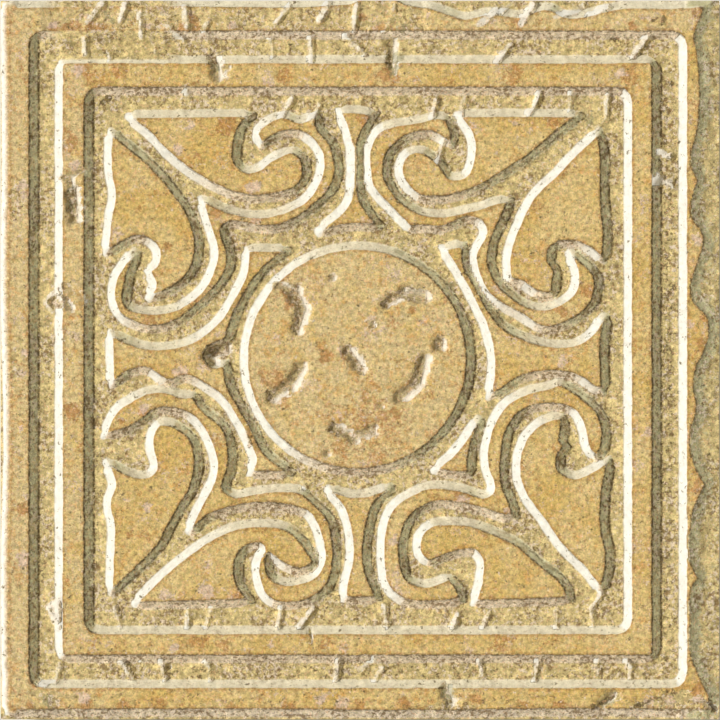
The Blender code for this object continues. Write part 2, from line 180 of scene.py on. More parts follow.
# How far each point lies from the nearest arris, with a minus sign where it is uncut. The
# walls are steeper below a tip, so a point there counts as further from the arris.
CHANNEL_DEPTH = 2.5
WALL_SLOPE = 1.03
WALL_RUN = CHANNEL_DEPTH / WALL_SLOPE
TIP_MARGIN = 1.0
TIP_STEEPNESS = 0.4
channel = tile_mesh.verts.layers.float.new("channel")
tile_mesh.verts.ensure_lookup_table()
for vert in tile_mesh.verts:
    reach = 0.0 if vert.index in on_arris else nearest[vert.index][0]
    if not uncut[vert.index] and 0 < reach < WALL_RUN + TIP_MARGIN:
        reach *= 1 + TIP_STEEPNESS * tip_share(vert.co.to_2d(), reach)
    vert[channel] = -reach if uncut[vert.index] else reach

# Which way each wall faces: how far to the right, where the shadows are, and how far up.
facing_right = tile_mesh.verts.layers.float.new("facing_right")
facing_up = tile_mesh.verts.layers.float.new("facing_up")
for vert in tile_mesh.verts:
    if vert.index not in on_arris:
        away = (vert.co.to_2d() - nearest[vert.index][1]).normalized()
        away *= -1 if uncut[vert.index] else 1
        vert[facing_right], vert[facing_up] = away
for index in on_arris:
    vert = tile_mesh.verts[index]
    around = [edge.other_vert(vert) for edge in vert.link_edges]
    free = [other for other in around if other.index not in on_arris]
    for layer in (facing_right, facing_up):
        vert[layer] = sum(other[layer] for other in free) / max(1, len(free))

face_points = KDTree(len(tile_mesh.verts))
for vert in tile_mesh.verts:
    face_points.insert(vert.co, vert.index)
face_points.balance()


WAVER_SEED_STEP = 7.3
WAVER_RANGE = 1.4
RUBBLE_SEED_STEP = 5.1
RUBBLE_FINENESS = 0.7
RUBBLE_GAP = 2.1
RUBBLE_LAYERS = 4


def waver(place, size, seed):
    """Smooth irregularity between about -1 and 1, with features of the given size."""
    spot = Vector((place.x / size, place.y / size, seed * WAVER_SEED_STEP))
    return noise.noise(spot) * WAVER_RANGE


def rubble(place, size, seed):
    """Rough irregularity with finer grain on top, between about -1 and 1."""
    spot = Vector((place.x / size, place.y / size, seed * RUBBLE_SEED_STEP))
    return noise.fractal(spot, RUBBLE_FINENESS, RUBBLE_GAP, RUBBLE_LAYERS)


RAGGED_PATCH = 1.7


def marked(marks, ragged):
    """How strongly each point of the face is covered by marks.

    A mark is a stroke: both ends, half-width and strength. A spot is a stroke of no length.
    The result is {index: (share, strength, offset)}, with the offset to the right of the
    stroke's middle line as a share of the half-width.
    """
    covered = {}
    for x0, y0, x1, y1, width, strength in marks:
        a = Vector((x0, y0))
        b = Vector((x1, y1))
        reach = (b - a).length / 2 + width * (1 + ragged)
        for co, index, _ in face_points.find_range(a.lerp(b, 0.5).to_3d(), reach):
            place = co.to_2d()
            edge_width = width * (1 + ragged * waver(place, RAGGED_PATCH, seed=x0))
            offset = place - foot_on(place, a, b)
            share = 1 - offset.length / edge_width
            if share > covered.get(index, (0, 0, 0))[0]:
                covered[index] = (share, strength, offset.x / edge_width)
    return covered


def spots(places):
    """Strokes of no length, from rows of x, y, radius and strength."""
    return [(x, y, x, y, radius, strength) for x, y, radius, strength in places]


# Ribs that the cutter left standing, and lumps of spilt mortar: both ends of each, its
# half-width and its height.
TOP_MARGIN_RIBS = (
    (-76, 94, -71.5, 99.5, 1.2, 0.85), (-67, 94.5, -65.5, 99, 1.2, 0.95),
    (-61, 89.5, -61.5, 96.5, 1.1, 0.95), (-61.5, 96, -53.5, 96, 0.8, 0.5),
    (-54, 93, -49.5, 89, 1.1, 0.7), (-48.5, 93, -49, 98, 1.4, 0.95),
    (-53, 96, -49, 97.5, 0.8, 0.4), (-43.5, 92, -42.5, 94, 1.1, 0.6),
    (-23.5, 94, -20, 98, 1.4, 0.75), (-11.5, 94.5, -9, 99, 1.4, 0.95),
    (-2, 92, -1, 98.5, 1.2, 1.0), (6.5, 92, 8, 94.5, 1.1, 0.5), (9, 97, 9.5, 99, 0.8, 0.6),
    (33.5, 93.5, 38, 97.5, 1.4, 1.0), (39, 97, 42, 99, 1.1, 0.5), (45, 94, 48, 99, 1.5, 1.1),
    (54.5, 95.5, 62, 98.5, 1.4, 0.6), (64, 95.5, 68.5, 98.5, 1.4, 0.7),
)
OUTER_TOP_CHANNEL_RIBS = (
    (-77, 89.5, -76.5, 85, 1.1, 0.8), (-70.5, 86, -69.5, 84, 0.8, 0.9),
    (-58, 89.5, -57, 85, 1.0, 0.5), (-25, 89, -24.5, 85, 1.1, 0.6),
    (-14, 89.5, -13.5, 83, 1.1, 0.85), (-4, 90, -2, 88, 1.1, 0.6), (-2, 88, 1, 85, 1.1, 0.7),
    (42, 88, 38, 83, 1.2, 0.85), (79.5, 89.5, 75.5, 84.5, 1.4, 0.95),
)
INNER_TOP_CHANNEL_RIBS = (
    (-48.5, 74.5, -47, 70.5, 1.1, 0.4), (-19, 73, -22, 68, 1.1, 0.9),
    (-11.5, 71, -14, 66, 1.0, 0.6), (21, 72, 20, 68, 1.1, 0.9), (29, 73, 28, 69, 1.1, 0.6),
    (49.7, 73.8, 47, 68.5, 1.1, 1.1), (58.5, 74, 58, 70, 1.1, 0.5),
    (69, 73.5, 68, 67, 1.1, 0.8), (68, 67, 64.5, 63, 0.8, 0.5),
)
LEFT_RIBS = (
    (-84.5, 19, -88, 16.5, 1.1, 0.8), (-88, 16.5, -86, 13.5, 1.1, 0.7),
    (-84.5, 19.5, -83, 16.5, 1.1, 0.8), (-84.4, -68.6, -84.2, -71.4, 1.7, 2.2),
    (-83.5, -66.5, -87, -69, 1.1, 1.6), (-87, -69, -85.5, -71.5, 1.2, 1.6),
    (-85.5, -71.5, -84, -74, 1.1, 1.4), (-83.5, -84.5, -85, -89, 1.1, 0.7),
    (-85, -89, -88.5, -90.5, 1.1, 0.7),
)
RIGHT_RIBS = (
    (84, 57.5, 86.0, 57, 1.7, 1.1), (82.5, 50, 86.5, 49, 1.9, 1.1),
)
OUTER_BOTTOM_CHANNEL_RIBS = (
    (-67, -84, -65.5, -85.5, 1.0, 1.0), (-65.5, -85.5, -63.5, -88.7, 1.0, 0.95),
    (-61, -84, -59.5, -85.5, 0.8, 0.4), (-55.5, -84, -54.5, -88.7, 1.0, 0.75),
    (-43.5, -84, -42, -85.5, 1.0, 0.7), (-42, -85.5, -42, -88.5, 1.0, 0.7),
    (-6.5, -84, -6.5, -87.5, 1.1, 1.1), (-6.5, -87.5, -7, -89, 1.1, 1.0),
    (0, -86.5, 3.5, -83.5, 1.1, 0.6), (6, -85.5, 4, -88.5, 1.1, 0.75),
    (33, -84, 34, -87.5, 1.0, 0.8), (49.5, -84, 48.5, -89, 1.0, 0.8),
    (65.8, -84, 66.3, -87.5, 1.1, 0.7), (74.3, -84, 75.2, -85.5, 1.1, 1.0),
    (75.2, -85.5, 75, -88.5, 1.0, 0.7),
)
INNER_BOTTOM_CHANNEL_RIBS = (
    (-68.5, -69, -67, -73.8, 1.0, 0.8), (-56.5, -71.5, -56.5, -73.8, 0.8, 0.5),
    (-48, -70, -48, -74, 1.0, 0.8), (-41.5, -69, -43, -73.8, 1.1, 0.45),
    (-22, -69, -23, -74, 1.0, 0.85), (-13, -69, -17, -74, 1.1, 0.95),
    (6.5, -68.5, 7.5, -74, 1.0, 0.75), (27, -71, 25.5, -74.2, 1.1, 0.95),
    (36, -70, 34, -73.8, 1.0, 0.6), (54.5, -70, 54.5, -73.8, 1.2, 0.6),
    (66.8, -65.5, 64.2, -69.3, 1.0, 0.8), (64.2, -69.3, 64.5, -73.5, 1.0, 0.6),
)
SCROLL_RIBS = (
    (-55.5, 19.5, -58, 18, 0.8, 0.4), (-16.5, -33, -15.5, -35, 1.1, 0.5),
    (-32, -20, -31.5, -23.5, 1.1, 0.7), (23, 61, 21.5, 55, 1.0, 0.7),
)
RIBS = (TOP_MARGIN_RIBS + OUTER_TOP_CHANNEL_RIBS + INNER_TOP_CHANNEL_RIBS + LEFT_RIBS
        + RIGHT_RIBS + OUTER_BOTTOM_CHANNEL_RIBS + INNER_BOTTOM_CHANNEL_RIBS + SCROLL_RIBS)

# Places where the face broke or wore away: both ends of each, its half-width and its depth.
FRAME_BREAKS = (
    (-79.6, 46.5, -79.1, 39.5, 2.6, 1.7), (-80.6, 50, -80, 46, 1.8, 0.8),
    (-82.5, 51, -77, 52.5, 0.95, 1.0), (-86, 16, -83, 16, 1.7, 0.6),
    (-81.5, 16, -80.5, 14.5, 1.9, 0.7), (-81.5, 20.5, -80, 19, 1.4, 0.4),
    (-79, 19.5, -77, 16.5, 1.1, 0.35), (-40.5, 84, -39.5, 79.5, 2.5, 1.5),
    (-38, 80.5, -36.5, 81.5, 1.2, 0.6), (9, 88, 9, 82, 1.8, 1.5), (10, 82, 9.5, 80, 1.4, 0.9),
    (64, 77, 68, 78, 0.8, 0.3), (-14, -74.5, -13.5, -78.5, 0.5, 1.0),
    (-11, -79, -9, -80, 0.5, 0.5), (-53.5, -85.5, -53, -85.5, 0.8, 1.1),
    (80, 58, 78.5, 56.5, 0.8, 0.35),
)
MARGIN_BREAKS = (
    (24, -92.5, 25.2, -95, 2.5, 1.2), (67.5, -95.5, 70.5, -93.5, 1.5, 0.9),
    (96, -95.5, 99, -98, 1.4, 0.7),
)
SCROLL_BREAKS = (
    (-41.5, 2, -37, 3, 2.2, 1.9), (-43, 1, -40.5, -0.5, 1.7, 1.2),
)


def gouge(*beads):
    """A tapering hollow along a bent line, as (x, y, radius, depth) at each of its bends."""
    return tuple((x0, y0, x1, y1, (r0 + r1) / 2, (depth0 + depth1) / 2)
                 for (x0, y0, r0, depth0), (x1, y1, r1, depth1) in zip(beads, beads[1:]))


DISC_HOLLOWS = (
    gouge((-22, 20.5, 1.0, 0.8), (-18, 19, 2.6, 1.9), (-15.5, 14, 3.1, 2.0), (-17.5, 8.5, 1.5, 0.9))
    + gouge((7.5, 15.5, 1.2, 0.9), (12, 18.5, 2.8, 2.0), (18, 17.5, 1.6, 1.1))
    + gouge((-16, -2, 1.4, 1.0), (-19, -7, 3.3, 2.0), (-24.5, -10.5, 1.8, 1.1))
    + gouge((-3, 2.5, 2.7, 1.9), (0.5, -2.5, 1.7, 1.2))
    + gouge((18, 0, 1.4, 1.0), (16.5, -6, 3.1, 2.0), (11.5, -10.5, 1.7, 1.1))
    + gouge((-7, -19, 1.4, 1.0), (-1.5, -21.5, 2.8, 1.9), (4, -19.5, 1.5, 1.0))
    + ((22.5, 5, 22.5, 4, 2.3, 1.5), (3.5, 10, 4, 9.5, 1.3, 0.8), (-9, -26, -9, -26, 1.5, 1.0),
       (-8, 23, -7.5, 23, 1.3, 0.8), (6, -13, 6, -13, 1.2, 0.7))
)
BREAKS = FRAME_BREAKS + MARGIN_BREAKS + SCROLL_BREAKS + DISC_HOLLOWS

# Long shallow wear along the margins, given in the same way.
WEAR = (
    (-96, 46.5, -95.5, 41, 2.2, 0.45), (-96, 2, -96, -4, 1.7, 0.3),
    (-33.5, 93, -28, 96, 1.4, 0.3), (-35.5, 92.5, -31.5, 92, 1.1, 0.25),
    (-89.5, -93, -85.5, -95, 2.2, 0.4), (19, -97, 31, -97, 1.8, 0.4),
    (67, -96, 71, -93.5, 2.3, 0.8), (77.5, -97.4, 92, -96.2, 3.4, 0.8),
    (84.5, -94.8, 90, -93.6, 2.4, 0.5),
)

RAGGED_RIBS = 0.5
RAGGED_BREAKS = 0.45
rib_cover = marked(RIBS, RAGGED_RIBS)
wear_cover = marked(WEAR, RAGGED_BREAKS)
break_cover = marked(BREAKS, RAGGED_BREAKS)
UNMARKED = (0.0, 0.0, 0.0)


def ramp(value):
    """A value held between 0 and 1."""
    return max(0.0, min(1.0, value))


# The left part of the top margin is worn down, and the wall below its end has slumped.
WORN_FROM = -89
WORN_TO = 19
WORN_FADE_IN = 4
WORN_FADE_OUT = 1.6
SLACK_FROM = -88
SLACK_TO = -50
SLACK_FADE = 5
SLACK_ABOVE = WORN_MARGIN - 7


def worn_share(place):
    """How far the left part of the top margin is worn down at a place."""
    if place.y < WORN_MARGIN:
        return 0.0
    return ramp(min((place.x - WORN_FROM) / WORN_FADE_IN, (WORN_TO - place.x) / WORN_FADE_OUT))


def slack_share(place):
    """How far the wall below the worn margin's left end has slumped to a gentle slope."""
    if place.y < SLACK_ABOVE:
        return 0.0
    return ramp(min(place.x - SLACK_FROM, SLACK_TO - place.x) / SLACK_FADE)


# The ochre has faded on the disc, on the left and top margins, and half on the left band.
FADED_DISC = 36
FADED_MARGIN = 90
FADED_BAND = 75
DISC_FADE = 3
MARGIN_FADE = 1.5
BAND_FADE = 2
HALF_FADED = 0.6
MOSTLY_FADED = 0.7


def pale_share(place):
    """How far the ochre has faded at a place."""
    disc = ramp((FADED_DISC - place.length) / DISC_FADE)
    left = ramp((-FADED_MARGIN - place.x) / MARGIN_FADE)
    band = min(HALF_FADED, (-FADED_BAND - place.x) / BAND_FADE)
    upper = ramp((place.y - FADED_MARGIN) / MARGIN_FADE)
    return max(MOSTLY_FADED * disc, left, band, MOSTLY_FADED * upper)


# The face's left rim is rounded over. Its right edge has slumped to a ledge that eases
# down from the last arris.
RIM_START = 95.5
RIM_SLOPE = 0.32
RIM_POWER = 1.1
RIGHT_LEDGE = 91.0
LEDGE_DROP = 2.3
LEDGE_EASE = 2.9
WORN_SLOPE = 0.5
AT_ARRIS = 0.01


def wall_slope(place, cut, ledge):
    """The steepness of a channel's wall at a place."""
    slope = WALL_SLOPE + (WORN_SLOPE - WALL_SLOPE) * slack_share(place)
    if place.x < -RIM_START:
        slope = min(slope, RIM_SLOPE * cut ** RIM_POWER)
    if ledge:
        slope = LEDGE_DROP * (1 - exp(-cut / LEDGE_EASE)) / max(cut, AT_ARRIS)
    return slope


# The uncut surface is a little uneven. A wall runs down to the floor, which it meets in a
# short curve, and the floor is rough from the strokes of the knife.
SKIN = 0.02
DEEPEST = 3.6
MEAN_DIP = 0.10
SLOW_DIP = 0.07
FINE_DIP = 0.06
FOOT_BLEND = 0.5
WALL_WAVER = 0.18
FLOOR_WAVER = 0.14
FLOOR_RUBBLE = 0.30


def face_height(place, cut, lift, sink, ledge):
    """Height of the face where it is cut this far from the nearest arris, or uncut (below 0).

    Lift is the height of a rib there, sink is the depth of a break, and the ledge is the
    slumped right edge.
    """
    worn_away = WORN_DROP * worn_share(place)
    dip = max(0.0, MEAN_DIP + SLOW_DIP * waver(place, 14, seed=1)
              + FINE_DIP * rubble(place, 2.2, seed=2))
    if cut <= 0:
        height = FACE - worn_away - dip
    else:
        uneven = 1 + WALL_WAVER * waver(place, 2.3, seed=6)
        drop = cut * wall_slope(place, cut, ledge) * uneven + worn_away
        short = max(FOOT_BLEND - abs(drop - CHANNEL_DEPTH), 0.0) / FOOT_BLEND
        drop = min(drop, CHANNEL_DEPTH) - short * short * FOOT_BLEND / 4
        rough = min(1.0, (cut / WALL_RUN) ** 2)
        drop += rough * (FLOOR_WAVER * waver(place, 3.2, seed=3)
                         + FLOOR_RUBBLE * rubble(place, 1.7, seed=4))
        height = FACE - max(0.0, drop) - dip * (1 - rough)
    return max(FACE - DEEPEST, min(FACE - SKIN, height + lift - sink))


# A rib rises slowly from its left foot and drops steeply on its right. A hollow reaches its
# full depth about halfway in from its edge. Both lay the pale cement bare.
RIB_BOLDNESS = 1.4
RIB_LEFT_FLANK = 1.4
RIB_RIGHT_FLANK = 0.6
CREST_WAVER = 0.35
HOLLOW_STEEPNESS = 1.9
JUST_COVERED = 0.1
RIB_MIDDLE = 0.5
RIB_TURN = 2
HOLLOW_MIDDLE = 0.03
HOLLOW_TURN = 3.0
LOWEST_RIB_BARE = 0.15
RIB_BARENESS = 0.75
BREAK_EDGE = 3.5
BREAK_BARENESS = 1.3
WEAR_EDGE = 4
MOST_WORN = 1.15
TURNED_LEFT = -0.3


def rib_profile(share, side):
    """A rib's height at an offset from its middle line, as a share of its full height."""
    return max(0.0, min((1 + side) / RIB_LEFT_FLANK, (1 - side) / RIB_RIGHT_FLANK,
                        2 * share, 1.0))


def hollow_profile(share):
    """A hollow's depth as a share of its full depth."""
    return min(1.0, HOLLOW_STEEPNESS * share)


broken = tile_mesh.verts.layers.float.new("broken")
worn = tile_mesh.verts.layers.float.new("worn")
slumped = tile_mesh.verts.layers.float.new("slumped")
slack = tile_mesh.verts.layers.float.new("slack")
pale = tile_mesh.verts.layers.float.new("pale")
rounded = tile_mesh.verts.layers.float.new("rounded")
for vert in tile_mesh.verts:
    place = vert.co.to_2d()
    rib_share, rib_height, rib_side = rib_cover.get(vert.index, UNMARKED)
    break_share, break_depth, break_side = break_cover.get(vert.index, UNMARKED)
    wear_share, wear_depth, _ = wear_cover.get(vert.index, UNMARKED)
    sink = hollow_profile(break_share) * break_depth + hollow_profile(wear_share) * wear_depth
    crest = 1 + CREST_WAVER * waver(place, 1.9, seed=12)
    lift = rib_profile(rib_share, rib_side) * rib_height * RIB_BOLDNESS * crest
    ledge = place.x > RIGHT_LEDGE and vert[channel] > 0 and vert[facing_right] > TURNED_LEFT
    # A rib's or hollow's facing is set from the side of its middle line, so that its side towards
    # the lamp takes the painted highlight and its other side the painted shade.
    if rib_share > JUST_COVERED or break_share > JUST_COVERED:
        if rib_share > break_share:
            turned = RIB_TURN * (rib_side - RIB_MIDDLE)
        else:
            turned = HOLLOW_TURN * (HOLLOW_MIDDLE - break_side)
        vert[facing_right] = max(-1.0, min(1.0, turned))
        vert[facing_up] = 0.0
    vert.co.z = face_height(place, vert[channel], lift, sink, ledge)
    bare_rib = min(1.0, LOWEST_RIB_BARE + RIB_BARENESS * rib_height * crest)
    bare_break = min(1.0, BREAK_BARENESS * break_depth)
    vert[broken] = max(min(1.0, 2 * rib_share) * bare_rib,
                       min(1.0, BREAK_EDGE * break_share) * bare_break)
    vert[worn] = max(worn_share(place), min(MOST_WORN, WEAR_EDGE * wear_share))
    vert[slumped] = 1.0 if ledge else 0.0
    vert[slack] = slack_share(place)
    vert[rounded] = 1.0 if place.x < -RIM_START else 0.0
    vert[pale] = pale_share(place)

# The cutter's hand swayed, so no line on the face is quite straight.
SLOW_SWAY = 0.12
QUICK_SWAY = 0.09
for vert in tile_mesh.verts:
    if not vert.is_boundary:
        place = vert.co.to_2d()
        sway = Vector((waver(place, 3.1, seed=8), waver(place, 3.1, seed=9))) * SLOW_SWAY
        sway += Vector((waver(place, 1.5, seed=18), waver(place, 1.5, seed=19))) * QUICK_SWAY
        vert.co.xy = place + sway

# Stains in the cement, as (x, y, radius, strength). Oxide is rust-brown, bloom is the pale
# pinkish salt that cement sweats out, and moss is a grey-green tint. Soot lies in streaks,
# given by both ends, half-width and strength.
OXIDE_STAINS = (
    (-85, 92.3, 2.2, 0.8), (-81, 92, 2.6, 0.9), (-78.5, 93, 1.8, 0.8), (-74.5, 92.5, 2.4, 1.0),
    (-71, 93, 1.1, 1.0), (-49.5, 92, 2.0, 1.0), (-46.5, 95, 2.0, 1.0), (-45.5, 92.5, 1.7, 1.0),
    (0.5, 95.5, 1.4, 0.9), (5.5, 91.5, 2.5, 0.8), (9.5, 91, 1.4, 0.9), (44.5, 93.5, 2.5, 0.7),
    (76, 93, 2.0, 0.9), (94.5, 96, 2.5, 0.8), (5, 84, 2.0, 0.9), (7, 79.5, 2.5, 1.0),
    (10, 78.5, 1.7, 0.9), (-76.5, 81.5, 3.3, 0.6), (-67, 81, 3.3, 0.6), (-22, 79, 3.3, 0.6),
    (43, 80, 4.0, 0.6), (75.5, 79, 3.3, 0.7), (-80, 60.5, 2.8, 0.7), (-87, 30.5, 1.7, 1.0),
    (-81.5, 16, 1.7, 1.0), (-80, -14.5, 3.3, 0.8), (-94, -41.5, 2.8, 0.9),
    (-90.5, -90.5, 1.1, 0.8), (-66, -96.3, 2.5, 0.8), (-35, -96.4, 2.6, 0.7),
    (-20, -96.5, 2.2, 0.8), (0, -96.4, 2.2, 0.8), (45, -96.3, 2.6, 0.8), (56, -96.3, 2.4, 0.8),
    (93.5, -92.5, 2.2, 0.9), (-44.5, -78.5, 3.3, 0.6), (-38, -79, 2.8, 0.7),
    (-10.5, -79.5, 1.1, 1.0), (39, -79, 4.4, 0.5), (-92, -96, 1.7, 0.8), (-76, -96, 2.2, 0.9),
    (-55.5, -96, 3.0, 0.6), (12.5, -95.5, 2.5, 0.8), (32, -94.5, 2.2, 0.8),
    (94.5, -91, 2.2, 0.9), (97, -93, 1.1, 0.9), (96, 11.5, 2.2, 0.8), (95.5, 4, 2.5, 0.9),
    (94, -35.5, 2.5, 0.9), (-9.5, 1, 2.5, 1.0), (-11, 4, 1.7, 0.8), (10, -14.5, 2.8, 0.9),
    (14.5, 14, 1.7, 0.8), (-21.5, -11.5, 3.3, 0.6), (-21.5, 19.5, 2.5, 0.6),
    (-19, 17, 3.4, 0.8), (-23, -6, 3.6, 0.7), (-3.5, 1, 3.0, 0.6), (14.5, -7, 3.0, 0.6),
    (9.5, 17, 2.8, 0.6), (-1.5, -20, 2.4, 0.6), (4, -19, 13.0, 0.42), (2, -17.5, 5.5, 0.6),
    (-5, -24.5, 4.0, 0.55), (-26.5, -5, 3.5, 0.5), (-53.5, 31.5, 2.2, 0.8), (-40, 41, 2.5, 0.9),
    (-37.5, 65, 3.6, 0.8), (53.5, 66.5, 2.8, 0.8), (1, 66.5, 2.0, 0.8), (31, 36, 2.0, 0.9),
    (56, 13.5, 2.5, 0.9), (63.5, 19.5, 2.2, 0.9), (-58.5, 11.5, 3.0, 0.8),
    (-64, -48.5, 1.4, 0.9), (-60.5, -14.5, 2.0, 0.8), (-66.5, -17, 1.4, 1.0),
    (-34.5, -66, 2.0, 0.9), (5, -37.5, 1.7, 0.8), (28.5, -37.5, 2.8, 0.9), (64, -24, 1.7, 1.0),
)
BLOOM_STAINS = (
    (80, -96, 3.0, 0.6), (86, -94.8, 2.6, 0.6), (-85.5, 93, 1.7, 1.0), (-78.5, 80.5, 2.2, 0.9),
    (-59, 93, 1.4, 0.9), (-36, 93, 1.7, 1.0), (73, 80, 1.7, 1.0), (-94, 48.5, 2.2, 1.0),
    (-93, 46, 1.4, 0.9), (-79.5, 54, 2.0, 0.9), (-93.5, 2, 1.7, 0.9), (-94, -3.5, 1.7, 0.9),
    (-94.5, -19, 1.1, 1.0), (-93.5, -55.5, 2.0, 0.9), (-77, -94, 2.2, 1.0),
    (-52, -80, 1.7, 1.0), (-50.5, 58.5, 1.7, 1.0), (-47, 65.5, 1.7, 0.9), (-29.5, 48, 2.5, 1.0),
    (-29, 38.5, 2.2, 1.0), (-50, -3.5, 2.5, 0.9), (-59, -41, 1.4, 0.9), (-60, -13.5, 1.7, 1.0),
    (-43, -64.5, 3.0, 0.9), (-54, -65.5, 2.5, 0.8), (-11, -94.5, 2.0, 1.0),
    (-5, -95.5, 2.5, 0.9), (41, -42, 1.4, 0.9), (28.5, -39, 2.2, 0.9), (94.5, -94.5, 1.7, 1.0),
    (91.5, 10, 1.7, 0.9), (94, 33.5, 2.0, 0.9), (80, -20, 2.2, 0.8), (56, -0.5, 2.0, 0.8),
    (39, 19.5, 2.2, 0.8), (9.5, -50, 2.0, 0.8),
)
MOSS_STAINS = (
    (10.5, 84.5, 2.0, 1.0), (10, 81, 1.7, 0.9), (11.5, 92, 2.5, 0.8), (-39.5, 81.5, 1.7, 0.9),
    (24.5, -93, 2.8, 1.0), (-87, -95, 2.8, 0.7), (69.5, -94.5, 2.2, 0.8), (-80, 43, 2.0, 1.0),
    (-80.5, 46.5, 1.7, 0.8), (-70, 96, 2.8, 0.6), (64, 67, 2.5, 0.7), (11, 30.5, 2.5, 0.8),
    (25, 21, 2.2, 0.7), (53, -58.5, 2.8, 0.7), (39, 11.5, 2.5, 0.7), (-62.5, 58.5, 2.8, 0.6),
)
SOOT_STREAKS = (
    (64.5, -96.5, 67.5, -95.8, 0.9, 0.7), (67.5, -95.8, 71, -93.4, 1.0, 0.75),
    (76, -96.6, 80.6, -94.6, 0.9, 0.6), (80.6, -94.6, 85.2, -92.2, 1.0, 0.6),
    (85.2, -92.2, 88, -92.6, 0.8, 0.5), (97, -94.8, 98.8, -97.3, 1.1, 0.9),
    (80.9, 94.2, 82.5, 95.1, 0.9, 0.9), (84.9, 95.3, 84.2, 93.9, 1.0, 0.9),
    (72.5, 88.5, 70.8, 89.3, 0.9, 0.9), (-71.5, 72, -69.5, 72.8, 1.0, 0.9),
    (85.8, 82, 85.8, -82, 2.4, 0.3), (-82, -87, 82, -87, 2.2, 0.24),
    (-80, -94.5, 61, -94.5, 3.0, 0.12),
)
STAINS = (("oxide", spots(OXIDE_STAINS)), ("bloom", spots(BLOOM_STAINS)),
          ("moss", spots(MOSS_STAINS)), ("soot", SOOT_STREAKS))
RAGGED_STAINS = 0.5
for name, stains in STAINS:
    layer = tile_mesh.verts.layers.float.new(name)
    tile_mesh.verts.ensure_lookup_table()
    for index, (share, strength, _) in marked(stains, RAGGED_STAINS).items():
        tile_mesh.verts[index][layer] = strength * min(1.0, 2 * share)

# The arris is a sharp edge, and so is the rim of the face.
CLEARLY_UNCUT = -1e-4
for edge in tile_mesh.edges:
    if all(vert.index in on_arris for vert in edge.verts) and len(edge.link_faces) == 2:
        uncut_sides = [min(vert[channel] for vert in face.verts) < CLEARLY_UNCUT
                       for face in edge.link_faces]
        edge.smooth = uncut_sides[0] == uncut_sides[1]

# The sides are as the mould left them, slightly uneven, and the underside is flat.
SIDE_LEVELS = (11.6, 9.2, 6.8, 4.4, 2.0, 0.0)
SIDE_INSET = 0.18
SIDE_WAVER = 0.12
NEAR_SIDE = HALF - 0.5
side = tile_mesh.verts.layers.float.new("side")
rim = [edge for edge in tile_mesh.edges if edge.is_boundary]
for edge in rim:
    edge.smooth = False
for level in SIDE_LEVELS:
    grown = bmesh.ops.extrude_edge_only(tile_mesh, edges=rim)["geom"]
    for vert in [item for item in grown if isinstance(item, bmesh.types.BMVert)]:
        along_and_up = Vector((vert.co.x + vert.co.y, level))
        inward = SIDE_INSET + SIDE_WAVER * waver(along_and_up, 4.0, seed=11) if level > 0 else 0.0
        vert.co.z = level
        vert[side] = 1.0
        vert[facing_right] = vert[facing_up] = vert[broken] = 0.0
        if abs(vert.co.x) > NEAR_SIDE:
            vert.co.x -= inward if vert.co.x > 0 else -inward
        if abs(vert.co.y) > NEAR_SIDE:
            vert.co.y -= inward if vert.co.y > 0 else -inward
    rim = [item for item in grown if isinstance(item, bmesh.types.BMEdge) and item.is_boundary]
for edge in rim:
    edge.smooth = False
bmesh.ops.contextual_create(tile_mesh, geom=rim)
bmesh.ops.recalc_face_normals(tile_mesh, faces=tile_mesh.faces)
for face in tile_mesh.faces:
    face.smooth = True
tile_mesh.transform(Matrix.Scale(MM, 4))

carved_tile_data = bpy.data.meshes.new("carved_tile")
tile_mesh.to_mesh(carved_tile_data)
tile_mesh.free()
solid.free()
carved_tile = bpy.data.objects.new("carved_tile", carved_tile_data)
bpy.context.scene.collection.objects.link(carved_tile)


